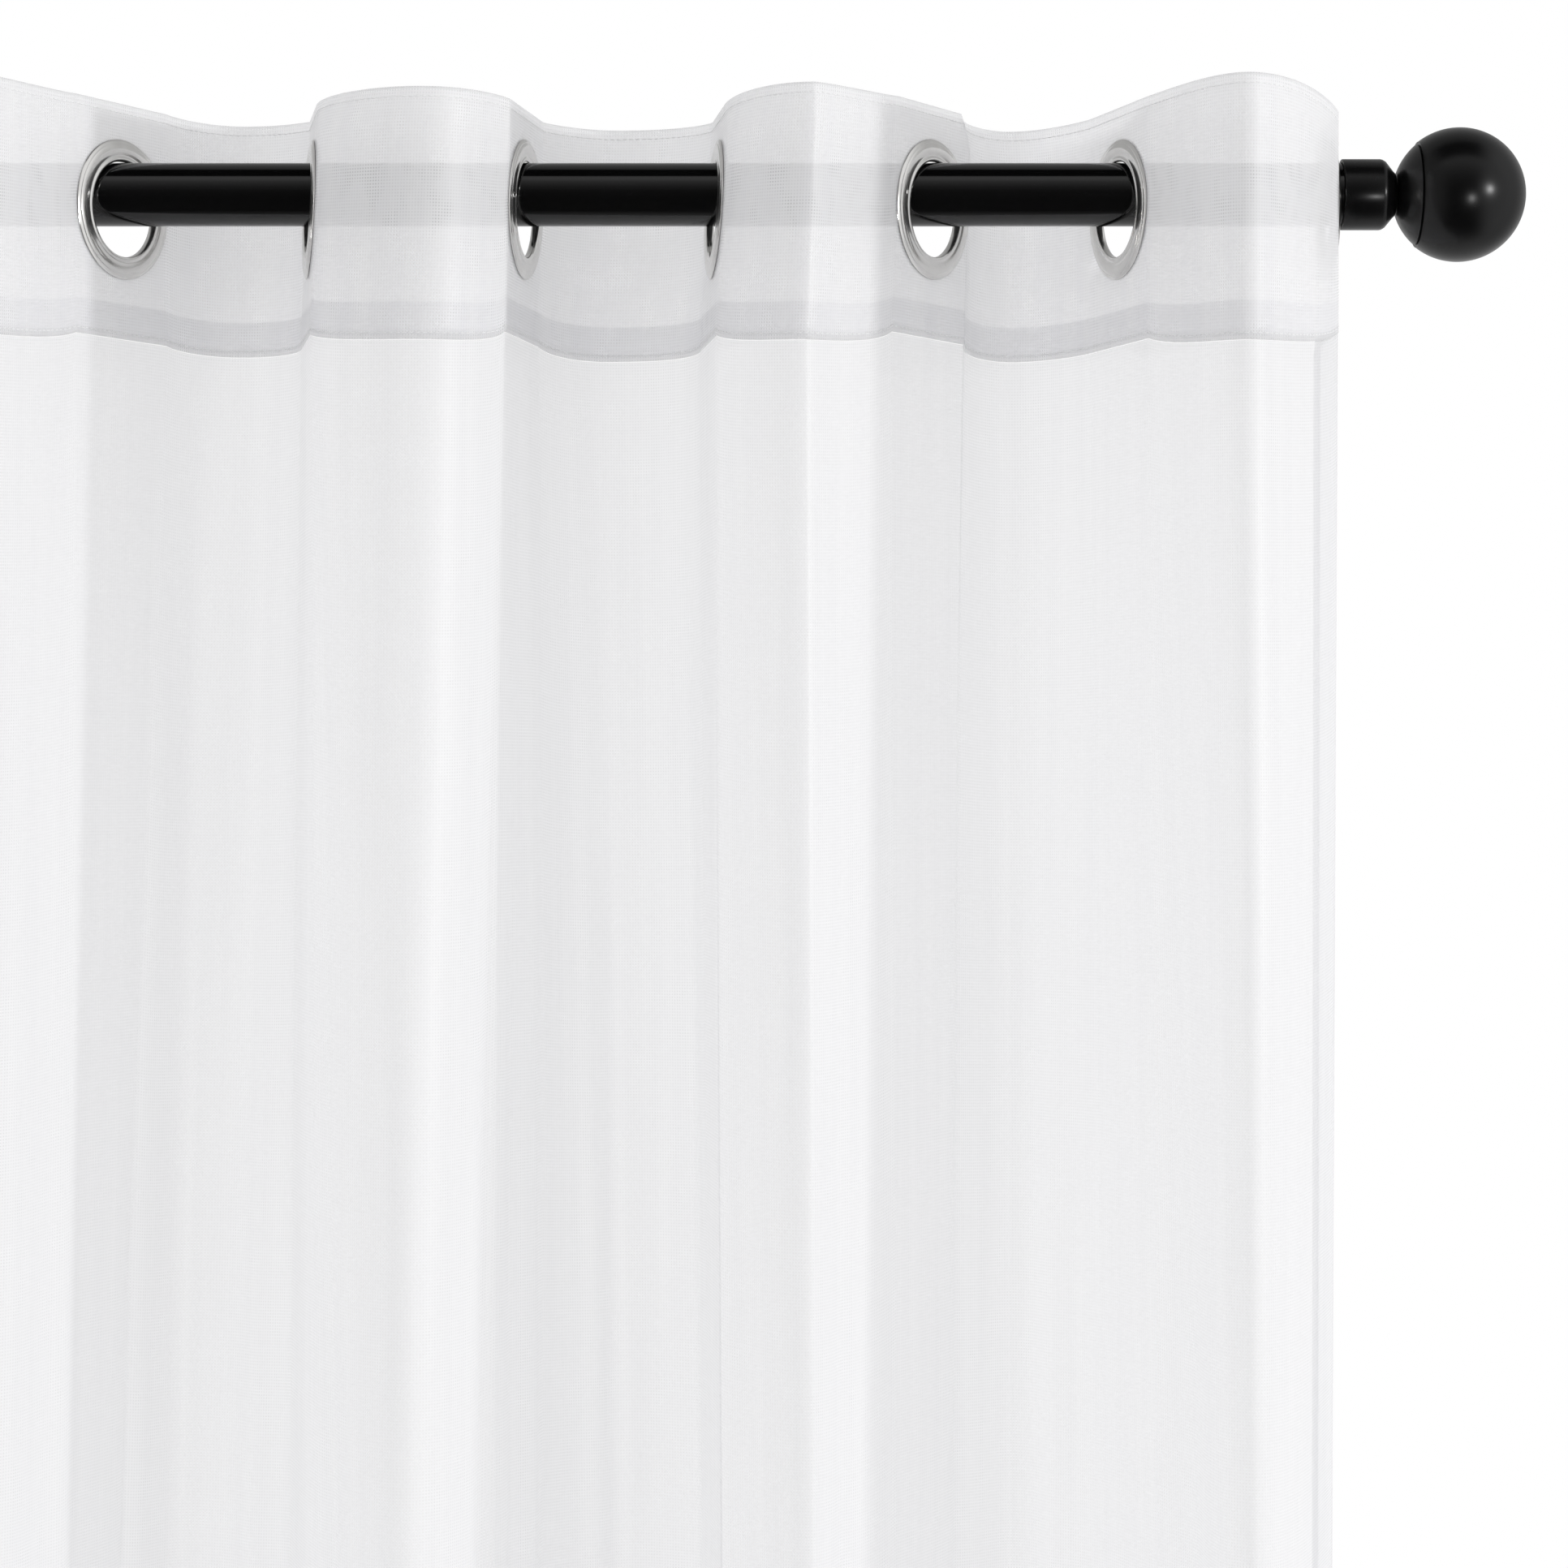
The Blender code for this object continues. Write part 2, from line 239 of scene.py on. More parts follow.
def flat_sides(index, fall, free=False):
    """How far the flat zone runs before and after an eyelet, at the free top edge or below."""
    half = flat_half(fall)
    before = SIDE_MARGIN if index == 0 else half
    after = SIDE_MARGIN if index == len(EYELETS) - 1 else half
    if free:
        after = FLAT_AT_TOP.get(index, after)
    return before, after


def fold_line(index, fall, reach, edge="seam", free=False, steps=HALF_FOLD_STEPS):
    """The fold's points from flat to flat, each with its share of the way from the crown."""
    row = FOLDS[index]
    start, leaving = crossing(index, fall, edge)
    end, arriving = crossing(index + 1, fall, edge)
    start = start + leaving * flat_sides(index, fall, free)[1]
    end = end - arriving * flat_sides(index + 1, fall, free)[0]
    share = row.crown + (row.hem_crown - row.crown) * fall
    stiff = max(0.0, 1 - CORNER_RELAXES * fall)
    corner_left = max(row.corner_left, row.corner_left * stiff)
    to_back = 1 if index % 2 else -1
    crown = Vector((start.x + (end.x - start.x) * share, to_back * reach))
    along = Vector((1.0, 0.0))
    left = (start,
            start + turned(leaving, corner_left) * row.foot_left * abs(crown.y - start.y),
            crown - along * row.left * abs(crown.x - start.x),
            crown)
    right = (crown,
             crown + along * row.right * abs(end.x - crown.x),
             end - turned(arriving, row.corner_right) * row.foot_right * abs(crown.y - end.y),
             end)
    spots = [step / steps for step in range(steps + 1)]
    points = [(cubic(*left, t), 1 - t) for t in spots]
    points += [(cubic(*right, t), t) for t in spots[1:]]
    return points


def line_length(points):
    return sum((b[0] - a[0]).length for a, b in zip(points, points[1:]))


def reach_at(index, fall):
    """How far the crown stands off where the same cloth fills a lower outline."""
    if not fall:
        return FOLDS[index].reach
    drawn = line_length(fold_line(index, 0, FOLDS[index].reach, steps=6))
    wanted = drawn + 2 * (flat_half(0) - flat_half(fall))
    low, high = flat_half(fall) * 0.6, 3 * FOLDS[index].reach
    for _ in range(22):
        middle = (low + high) / 2
        if line_length(fold_line(index, fall, middle, steps=6)) < wanted:
            low = middle
        else:
            high = middle
    return low


def plan(fall, edge="seam", free=False):
    """The cloth's columns from above at one height: x, y, flat position, top and seam."""
    columns = []
    flat_at = SIDE_MARGIN
    for index, row in enumerate(EYELETS):
        centre, direction = crossing(index, fall, edge)
        before, after = flat_sides(index, fall, free)
        for spot in FLAT_SPOTS:
            offset = spot * (before if spot < 0 else after)
            place = centre + direction * offset
            columns.append((place.x, place.y, flat_at + offset, row.top, row.seam))
        if index < len(FOLDS):
            columns += fold_columns(index, fall, edge, free, flat_at)
            flat_at += BETWEEN[index]
    return columns


def fold_columns(index, fall, edge, free, flat_at):
    fold = FOLDS[index]
    points = fold_line(index, fall, reach_at(index, fall), edge, free)
    whole = line_length(points)
    after = flat_sides(index, fall, free)[1]
    room = BETWEEN[index] - after - flat_sides(index + 1, fall, free)[0]
    columns, gone = [], 0.0
    for number in range(1, len(points) - 1):
        point, share = points[number]
        gone += (point - points[number - 1][0]).length
        near = EYELETS[index] if number < HALF_FOLD_STEPS else EYELETS[index + 1]
        bend = share ** 2.6
        columns.append((point.x, point.y,
                        flat_at + after + gone * room / whole,
                        fold.top + (near.top - fold.top) * bend,
                        fold.seam + (near.seam - fold.seam) * bend))
    return columns


def crease_shift(flat, down):
    """How far creases move the voile towards the wall at a flat position and share down."""
    shift = 0.0
    for crease in CREASES:
        index = int(crease.at)
        centre = (SIDE_MARGIN + sum(BETWEEN[:index])
                  + (crease.at - index) * BETWEEN[index] + crease.slant * down)
        away = (flat - centre) / (crease.width * (1 + 0.8 * down))
        if abs(away) < 3 and crease.start < down < crease.end:
            fade = math.sin(math.pi * (down - crease.start) / (crease.end - crease.start)) ** 0.7
            shift += crease.depth * math.exp(-abs(away) ** crease.power) * fade
    return shift


def pushed(points, shifts):
    """Move each point of a row square to the row, seen from above."""
    moved = []
    for number, (point, shift) in enumerate(zip(points, shifts)):
        before = points[max(number - 1, 0)]
        after = points[min(number + 1, len(points) - 1)]
        along = Vector((after.x - before.x, after.y - before.y)).normalized()
        moved.append(point + Vector((-along.y, along.x, 0.0)) * shift)
    return moved


def heading_rows(first=0.0, last=1.0, count=HEADING_ROWS, shift=0.0):
    """Rows from share first to share last of the way from the top edge to the seam."""
    rim, top, seam = plan(0, "top", free=True), plan(0, "top"), plan(0, "seam")
    rows = []
    for number in range(count + 1):
        share = first + (last - first) * (number / count) ** 1.3
        free = max(0.0, 1 - share / RING_TOP_SHARE) ** 1.5
        points, flats = [], []
        for edge, upper, lower in zip(rim, top, seam):
            x, y, flat, high, low = (
                above * free + (above_seam + (below - above_seam) * share) * (1 - free)
                for above, above_seam, below in zip(edge, upper, lower))
            points.append(Vector((x, y, high + (low - high) * share)))
            flats.append((flat, HEADING_LENGTH * share))
        rows.append(Row(pushed(points, [shift] * len(points)), flats))
    return rows


def voile_row(share, shift=0.0):
    fall = 1 - (1 - share) ** 1.8
    hem = HEADING_TOP - PANEL_LENGTH
    points, flats = [], []
    for x, y, flat, _, seam in plan(fall):
        start = seam - GAP
        points.append(Vector((x, y, start + (hem - start) * share)))
        flats.append((flat, HEADING_LENGTH + (PANEL_LENGTH - HEADING_LENGTH) * share))
    shifts = [crease_shift(flat[0], share) + shift for flat in flats]
    return Row(pushed(points, shifts), flats)


def voile_shares():
    return [(number / VOILE_ROWS) ** 1.4 for number in range(VOILE_ROWS + 1)]


def sheet_mesh(name, rows, thickness, materials, keep=None):
    """A thin sheet through the rows, closed where it has a thickness. Its UV map is the cloth
    laid flat, in metres. keep says which flat positions across stay. A second material goes on
    the wall face."""
    columns = [number for number in range(len(rows[0].points))
               if keep is None or keep(rows[0].flats[number][0])]
    builder = bmesh.new()
    uv_layer = builder.loops.layers.uv.new("flat_cloth")
    grid = []
    for row in rows:
        grid.append([builder.verts.new(row.points[column] * MM) for column in columns])
    for upper in range(len(rows) - 1):
        for left in range(len(columns) - 1):
            if columns[left + 1] != columns[left] + 1:
                continue
            corners = ((upper, left), (upper + 1, left), (upper + 1, left + 1), (upper, left + 1))
            face = builder.faces.new([grid[row][column] for row, column in corners])
            face.smooth = True
            for loop, (row, column) in zip(face.loops, corners):
                flat = rows[row].flats[columns[column]]
                loop[uv_layer].uv = (flat[0] * MM, -flat[1] * MM)
    mesh = bpy.data.meshes.new(name)
    builder.to_mesh(mesh)
    builder.free()
    for material in materials:
        mesh.materials.append(material)
    piece = link_piece(name, mesh)
    if not thickness:
        return piece
    thicken = piece.modifiers.new("thickness", "SOLIDIFY")
    thicken.thickness = thickness * MM
    thicken.offset = 0
    thicken.use_even_offset = True
    thicken.material_offset = len(materials) - 1
    thicken.material_offset_rim = 0
    return piece


def apply_modifiers(piece):
    graph = bpy.context.evaluated_depsgraph_get()
    mesh = bpy.data.meshes.new_from_object(piece.evaluated_get(graph))
    piece.modifiers.clear()
    piece.data = mesh
    mesh.name = piece.name
    return piece


# Turned parts

def turned_mesh(name, profile, closed=False, steps=TURN_STEPS):
    """Turn (radius, height) points about Z. Its UV map runs round, and across the profile."""
    builder = bmesh.new()
    uv_layer = builder.loops.layers.uv.new("turned")
    rings, across = [], [0.0]
    for (r1, h1), (r2, h2) in zip(profile, profile[1:]):
        across.append(across[-1] + math.hypot(r2 - r1, h2 - h1) * MM)
    for radius, height in profile:
        count = steps if radius > 0 else 1
        turns = [2 * math.pi * step / steps for step in range(count)]
        rings.append([
            builder.verts.new(Vector((radius * math.cos(turn), radius * math.sin(turn), height))
                              * MM)
            for turn in turns
        ])
    pairs = [(number, number + 1) for number in range(len(rings) - 1)]
    if closed:
        pairs.append((len(rings) - 1, 0))
    for lower, upper in pairs:
        for step in range(steps):
            after = (step + 1) % steps
            corners = []
            for ring, spot, turn in ((lower, step, step), (lower, after, step + 1),
                                     (upper, after, step + 1), (upper, step, step)):
                point = rings[ring][spot % len(rings[ring])]
                if point not in [corner[0] for corner in corners]:
                    corners.append((point, turn / steps, across[ring]))
            face = builder.faces.new([corner[0] for corner in corners])
            face.smooth = True
            for loop, corner in zip(face.loops, corners):
                loop[uv_layer].uv = corner[1:]
    bmesh.ops.recalc_face_normals(builder, faces=builder.faces)
    mesh = bpy.data.meshes.new(name)
    builder.to_mesh(mesh)
    builder.free()
    mesh.set_sharp_from_angle(angle=math.radians(38))
    return mesh


def along_axis(mesh, axis, centre=(0, 0, 0)):
    """Turn a mesh so that its Z runs along an axis, and move it, in its own points."""
    turn = Vector(axis).to_track_quat("Z", "Y").to_matrix().to_4x4()
    mesh.transform(Matrix.Translation(Vector(centre) * MM) @ turn)
    return mesh


def ball_profile(radius, first_turn, last_turn, steps):
    turns = [math.radians(first_turn + (last_turn - first_turn) * step / steps)
             for step in range(steps + 1)]
    return [(radius * math.sin(turn), BALL_CENTRE - radius * math.cos(turn)) for turn in turns]


# Materials

def gloss_black(name, roughness, grain, shine):
    """Black enamel baked on steel: very dark, with a clear sheen that follows the curve and a
    faint orange-peel grain. grain is the peel's size in millimetres."""
    material, tree = new_material(name)
    where = node(tree, "ShaderNodeTexCoord").outputs["Object"]
    peel = node(tree, "ShaderNodeTexNoise", {"Vector": where, "Scale": 1 / (grain * MM),
                                             "Detail": 2.0, "Roughness": 0.5})
    dust = node(tree, "ShaderNodeTexNoise", {"Vector": where, "Scale": 45.0, "Detail": 3.0})
    rough = node(tree, "ShaderNodeMapRange",
                 {"Value": dust.outputs["Fac"], "From Min": 0.3, "From Max": 0.7,
                  "To Min": roughness * 0.88, "To Max": roughness * 1.15})
    bump = node(tree, "ShaderNodeBump", {"Height": peel.outputs["Fac"], "Strength": 0.05,
                                         "Distance": 0.05 * MM})
    tone = node(tree, "ShaderNodeMix", {0: dust.outputs["Fac"], 6: linear("#070707"),
                                        7: linear("#0B0B0C")}, data_type="RGBA")
    surface = node(tree, "ShaderNodeBsdfPrincipled",
                   {"Base Color": tone.outputs[2], "Roughness": rough.outputs["Result"],
                    "Specular IOR Level": shine, "Normal": bump.outputs["Normal"]})
    node(tree, "ShaderNodeOutputMaterial", {"Surface": surface.outputs["BSDF"]})
    return material


def nickel(name):
    """Nickel plate on a stamped and polished ring: a bright grey mirror with faint turning marks
    that run round it, 0.35 mm apart, and a slightly duller film in patches."""
    material, tree = new_material(name)
    flat = node(tree, "ShaderNodeUVMap", uv_map="turned").outputs["UV"]
    stretch = node(tree, "ShaderNodeMapping",
                   {"Vector": flat, "Scale": (3.0, 1 / (0.35 * MM), 1.0)})
    marks = node(tree, "ShaderNodeTexNoise", {"Vector": stretch.outputs["Vector"], "Scale": 1.0,
                                              "Detail": 1.0})
    where = node(tree, "ShaderNodeTexCoord").outputs["Object"]
    film = node(tree, "ShaderNodeTexNoise", {"Vector": where, "Scale": 160.0, "Detail": 3.0})
    rough = node(tree, "ShaderNodeMapRange",
                 {"Value": film.outputs["Fac"], "From Min": 0.3, "From Max": 0.7,
                  "To Min": 0.10, "To Max": 0.19})
    bump = node(tree, "ShaderNodeBump", {"Height": marks.outputs["Fac"], "Strength": 0.10,
                                         "Distance": 0.02 * MM})
    tone = node(tree, "ShaderNodeMix", {0: film.outputs["Fac"], 6: linear("#DBDAD8"),
                                        7: linear("#E9E8E6")}, data_type="RGBA")
    surface = node(tree, "ShaderNodeBsdfPrincipled",
                   {"Base Color": tone.outputs[2], "Metallic": 1.0,
                    "Roughness": rough.outputs["Result"], "Normal": bump.outputs["Normal"]})
    node(tree, "ShaderNodeOutputMaterial", {"Surface": surface.outputs["BSDF"]})
    return material


def maths(tree, operation, first, second=0.0):
    return node(tree, "ShaderNodeMath", {0: first, 1: second}, operation=operation).outputs[0]


def threads(tree, place, pitch, share, uneven=0.2):
    """How open the cloth is across one set of threads: 0 on a thread and 1 in a gap. Each thread
    has its own width, about share of the pitch."""
    count = maths(tree, "DIVIDE", place, pitch * MM)
    own = node(tree, "ShaderNodeTexWhiteNoise", {"W": maths(tree, "FLOOR", count)},
               noise_dimensions="1D").outputs["Value"]
    across = maths(tree, "ABSOLUTE", maths(tree, "SUBTRACT", maths(tree, "FRACT", count), 0.5))
    width = maths(tree, "MULTIPLY_ADD", own, uneven)
    width.node.inputs[2].default_value = share - uneven / 2
    past = maths(tree, "SUBTRACT", maths(tree, "MULTIPLY", across, 2.0), width)
    return node(tree, "ShaderNodeMapRange", {"Value": past, "From Min": -0.22,
                                             "From Max": 0.22}).outputs["Result"]


def voile(name, pitches, share, on_thread, in_gap, bunched, tones=("#EFEFF1", "#F7F7F8")):
    """Voile: fine, tightly twisted polyester threads with gaps between them, so that it glows
    where light comes from behind and shows dark things behind it as small dots, more of them
    where the threads have spread. The real threads lie about 0.35 mm apart. They are drawn at
    pitches across and down, in millimetres, because finer ones don't show. share is how much of
    the pitch a thread takes. on_thread, in_gap and bunched are what one face lets straight
    through on a thread, in a gap and in a gap between threads that have spread."""
    material, tree = new_material(name)
    flat = node(tree, "ShaderNodeUVMap", uv_map="flat_cloth").outputs["UV"]
    parts = node(tree, "ShaderNodeSeparateXYZ", {0: flat})
    warp = threads(tree, parts.outputs["X"], pitches[0], share)
    weft = threads(tree, parts.outputs["Y"], pitches[1], share, 0.12)
    gaps = maths(tree, "MULTIPLY", warp, weft)
    spread_way = node(tree, "ShaderNodeMapping", {"Vector": flat, "Scale": (120.0, 75.0, 1.0)})
    spread = node(tree, "ShaderNodeTexNoise", {"Vector": spread_way.outputs["Vector"],
                                               "Scale": 1.0, "Detail": 1.0})
    gap = node(tree, "ShaderNodeMapRange", {"Value": spread.outputs["Fac"], "From Min": 0.48,
                                            "From Max": 0.68, "To Min": in_gap,
                                            "To Max": bunched}).outputs["Result"]
    open_share = node(tree, "ShaderNodeMapRange", {"Value": gaps, "To Min": on_thread,
                                                   "To Max": gap}).outputs["Result"]
    slub_way = node(tree, "ShaderNodeMapping", {"Vector": flat, "Scale": (150.0, 5.0, 1.0)})
    slubs = node(tree, "ShaderNodeTexNoise", {"Vector": slub_way.outputs["Vector"],
                                              "Scale": 1.0, "Detail": 1.0})
    tone = node(tree, "ShaderNodeMix", {0: slubs.outputs["Fac"], 6: linear(tones[0]),
                                        7: linear(tones[1])}, data_type="RGBA")
    front = node(tree, "ShaderNodeBsdfPrincipled",
                 {"Base Color": tone.outputs[2], "Roughness": 0.45, "Specular IOR Level": 1.0})
    glow = node(tree, "ShaderNodeBsdfTranslucent", {"Color": tone.outputs[2]})
    cloth = node(tree, "ShaderNodeMixShader", {0: 0.45, 1: front.outputs["BSDF"],
                                               2: glow.outputs["BSDF"]})
    through = node(tree, "ShaderNodeBsdfTransparent")
    seen = node(tree, "ShaderNodeMixShader", {0: open_share, 1: cloth.outputs[0],
                                              2: through.outputs[0]})
    node(tree, "ShaderNodeOutputMaterial", {"Surface": seen.outputs[0]})
    return material


def thread_white(name):
    """Polyester sewing thread: bright white, smooth and a little glossy, with its twist."""
    material, tree = new_material(name)
    where = node(tree, "ShaderNodeTexCoord").outputs["Object"]
    twist = node(tree, "ShaderNodeTexNoise", {"Vector": where, "Scale": 2600.0, "Detail": 1.0})
    tone = node(tree, "ShaderNodeMix", {0: twist.outputs["Fac"], 6: linear("#F6F6F7"),
                                        7: linear("#FFFFFF")}, data_type="RGBA")
    surface = node(tree, "ShaderNodeBsdfPrincipled",
                   {"Base Color": tone.outputs[2], "Roughness": 0.45})
    node(tree, "ShaderNodeOutputMaterial", {"Surface": surface.outputs["BSDF"]})
    return material


def plain_floor(name):
    """Pale matt studio floor."""
    material, tree = new_material(name)
    surface = node(tree, "ShaderNodeBsdfPrincipled",
                   {"Base Color": linear("#E4E4E4"), "Roughness": 0.9})
    node(tree, "ShaderNodeOutputMaterial", {"Surface": surface.outputs["BSDF"]})
    return material


# Rows of stitches

def stitch_tree(material):
    """Stitches at an even pitch along each edge path, and lying along it."""
    tree = bpy.data.node_groups.new("stitch_row", "GeometryNodeTree")
    tree.interface.new_socket("Geometry", in_out="INPUT", socket_type="NodeSocketGeometry")
    for name, value in (("Pitch", 3.0 * MM), ("Length", 2.3 * MM), ("Thread radius", 0.17 * MM)):
        socket = tree.interface.new_socket(name, in_out="INPUT", socket_type="NodeSocketFloat")
        socket.default_value = value
    tree.interface.new_socket("Geometry", in_out="OUTPUT", socket_type="NodeSocketGeometry")
    given = node(tree, "NodeGroupInput")
    path = node(tree, "GeometryNodeMeshToCurve", {"Mesh": given.outputs["Geometry"]})
    spots = node(tree, "GeometryNodeCurveToPoints",
                 {"Curve": path.outputs["Curve"], "Length": given.outputs["Pitch"]},
                 mode="LENGTH")
    bead = node(tree, "GeometryNodeMeshUVSphere", {"Segments": 6, "Rings": 5, "Radius": 1.0})
    half = node(tree, "ShaderNodeMath", {0: given.outputs["Length"], 1: 0.5},
                operation="MULTIPLY").outputs[0]
    size = node(tree, "ShaderNodeCombineXYZ", {0: given.outputs["Thread radius"],
                                               1: given.outputs["Thread radius"], 2: half})
    rows = node(tree, "GeometryNodeInstanceOnPoints",
                {"Points": spots.outputs["Points"], "Instance": bead.outputs["Mesh"],
                 "Rotation": spots.outputs["Rotation"], "Scale": size.outputs["Vector"]})
    whole = node(tree, "GeometryNodeRealizeInstances", {"Geometry": rows.outputs["Instances"]})
    smooth = node(tree, "GeometryNodeSetShadeSmooth", {"Geometry": whole.outputs["Geometry"]})
    dressed = node(tree, "GeometryNodeSetMaterial", {"Geometry": smooth.outputs["Geometry"],
                                                     "Material": material})
    node(tree, "NodeGroupOutput", {"Geometry": dressed.outputs["Geometry"]})
    return tree


def stitched(name, paths, tree, **sizes):
    """Stitches along paths of points in millimetres, as one plain mesh."""
    builder = bmesh.new()
    for path in paths:
        points = [builder.verts.new(point * MM) for point in path]
        for first, second in zip(points, points[1:]):
            builder.edges.new((first, second))
    mesh = bpy.data.meshes.new(name)
    builder.to_mesh(mesh)
    builder.free()
    piece = link_piece(name, mesh)
    rows = piece.modifiers.new("stitches", "NODES")
    rows.node_group = tree
    for item in tree.interface.items_tree:
        if item.item_type == "SOCKET" and item.in_out == "INPUT" and item.name in sizes:
            rows[item.identifier] = sizes[item.name]
    return apply_modifiers(piece)


def both_faces(row, off):
    """The row's path on the room face and on the wall face of a sheet."""
    count = len(row.points)
    return [pushed(row.points, [-off] * count), pushed(row.points, [off] * count)]


# Build

def build_rod(black):
    half = ROD_HALF_LENGTH
    profile = [(0, -half), (ROD_RADIUS - 0.5, -half), (ROD_RADIUS, -half + 0.5)]
    profile += [(ROD_RADIUS, -half + 0.5 + (2 * half - 1.0) * step / 24) for step in range(1, 24)]
    profile += [(ROD_RADIUS, half - 0.5), (ROD_RADIUS - 0.5, half), (0, half)]
    mesh = along_axis(turned_mesh("rod_tube", profile), (1, 0, 0))
    mesh.materials.append(black)
    return link_piece("rod_tube", mesh)


def build_finials(black):
    """The collar, cap and ball at each end, with softened edges and a fine groove."""
    neck_end = BALL_CENTRE - math.sqrt(BALL_RADIUS ** 2 - NECK_RADIUS ** 2)
    socket_end = ROD_HALF_LENGTH + GAP
    collar = [
        (0, socket_end), (ROD_RADIUS + GAP, socket_end), (ROD_RADIUS + GAP, COLLAR_START + 0.3),
        (ROD_RADIUS + GAP + 0.3, COLLAR_START), (COLLAR_RADIUS - 0.5, COLLAR_START),
        (COLLAR_RADIUS - 0.12, COLLAR_START + 0.15), (COLLAR_RADIUS, COLLAR_START + 0.5),
        (COLLAR_RADIUS, COLLAR_CHAMFER_START - 1.2),
        (COLLAR_RADIUS - 0.2, COLLAR_CHAMFER_START - 0.3),
        (COLLAR_RADIUS - 0.9, COLLAR_CHAMFER_START + 0.9),
        (NECK_RADIUS + 0.8, neck_end - GAP - 0.9),
        (NECK_RADIUS + 0.1, neck_end - GAP - 0.15), (NECK_RADIUS - 0.2, neck_end - GAP),
        (0, neck_end - GAP),
    ]
    cap_radius = BALL_RADIUS - CAP_INSET
    cap_start = math.degrees(math.asin(NECK_RADIUS / cap_radius))
    cap_end = math.degrees(math.acos((GROOVE_BEFORE_CENTRE + GAP / 2 + 0.35) / cap_radius))
    cap = ball_profile(cap_radius, cap_start, cap_end, 18)
    rim = (cap[-1][0] - 0.1, BALL_CENTRE - GROOVE_BEFORE_CENTRE - GAP / 2)
    cap = [(0, cap[0][1])] + cap + [rim, (0, rim[1])]
    ball_start = math.degrees(math.acos((GROOVE_BEFORE_CENTRE - GAP / 2 - 0.35) / BALL_RADIUS))
    ball = ball_profile(BALL_RADIUS, ball_start, 180, 48)
    lip = (ball[0][0] - 0.15, BALL_CENTRE - GROOVE_BEFORE_CENTRE + GAP / 2)
    ball = [(0, lip[1]), lip] + ball[:-1] + [(0, ball[-1][1])]
    pieces = []
    for name, profile, stands_for in (("collar_sleeve", collar, "collar"),
                                      ("finial_neck_cap", cap, "finial_cap"),
                                      ("finial_ball", ball, "finial")):
        for side, axis in (("left", (-1, 0, 0)), ("right", (1, 0, 0))):
            mesh = along_axis(turned_mesh(name + "_" + side, profile), axis)
            mesh.materials.append(black)
            piece = link_piece(name + "_" + side, mesh)
            pieces.append((piece, stands_for + "_" + side))
    return pieces


RING_HALF = (
    (18.80, 0.35), (18.86, 0.90), (19.05, 1.32), (19.40, 1.64), (19.90, 1.78), (20.40, 1.70),
    (20.80, 1.46), (21.20, 1.38), (21.60, 1.46), (22.20, 1.64), (22.90, 1.76), (23.80, 1.80),
    (24.80, 1.72), (25.50, 1.56), (25.85, 1.42), (26.02, 1.30), (26.22, 1.30), (26.45, 1.28),
    (26.90, 1.10), (27.30, 0.88), (27.56, 0.70), (27.66, 0.58), (27.55, 0.50),
    (27.00, 0.50), (22.20, 0.50),
)


def build_rings(metal):
    """Each eyelet is two stamped washers closed on the cloth, round one rolled barrel."""
    profile = list(RING_HALF) + [(radius, -height) for radius, height in reversed(RING_HALF)]
    pieces = []
    for index, row in enumerate(EYELETS):
        name = "eyelet_ring_" + str(index + 1)
        along = crossing(index, 0)[1].to_3d()
        axis = along.cross(Vector((row.lean, 0.0, 1.0)))
        mesh = along_axis(turned_mesh(name, profile, closed=True), axis,
                          (row.x, 0.0, -EYELET_DROP))
        mesh.materials.append(metal)
        pieces.append((link_piece(name, mesh), "eyelet_" + str(index + 1)))
    return pieces


def cut_holes(heading):
    """Eight round holes, each square to the cloth at its eyelet."""
    profile = [(0, -3), (HOLE_RADIUS + 0.2, -3), (HOLE_RADIUS + 0.2, 3), (0, 3)]
    builder = bmesh.new()
    for index, row in enumerate(EYELETS):
        along = crossing(index, 0)[1].to_3d()
        axis = along.cross(Vector((row.lean, 0.0, 1.0)))
        mesh = along_axis(turned_mesh("hole", profile, steps=48), axis, (row.x, 0.0, -EYELET_DROP))
        builder.from_mesh(mesh)
        bpy.data.meshes.remove(mesh)
    mesh = bpy.data.meshes.new("holes")
    builder.to_mesh(mesh)
    builder.free()
    cutter = link_piece("holes", mesh)
    holes = heading.modifiers.new("holes", "BOOLEAN")
    holes.operation = "DIFFERENCE"
    holes.solver = "EXACT"
    holes.object = cutter
    apply_modifiers(heading)
    bpy.data.objects.remove(cutter)


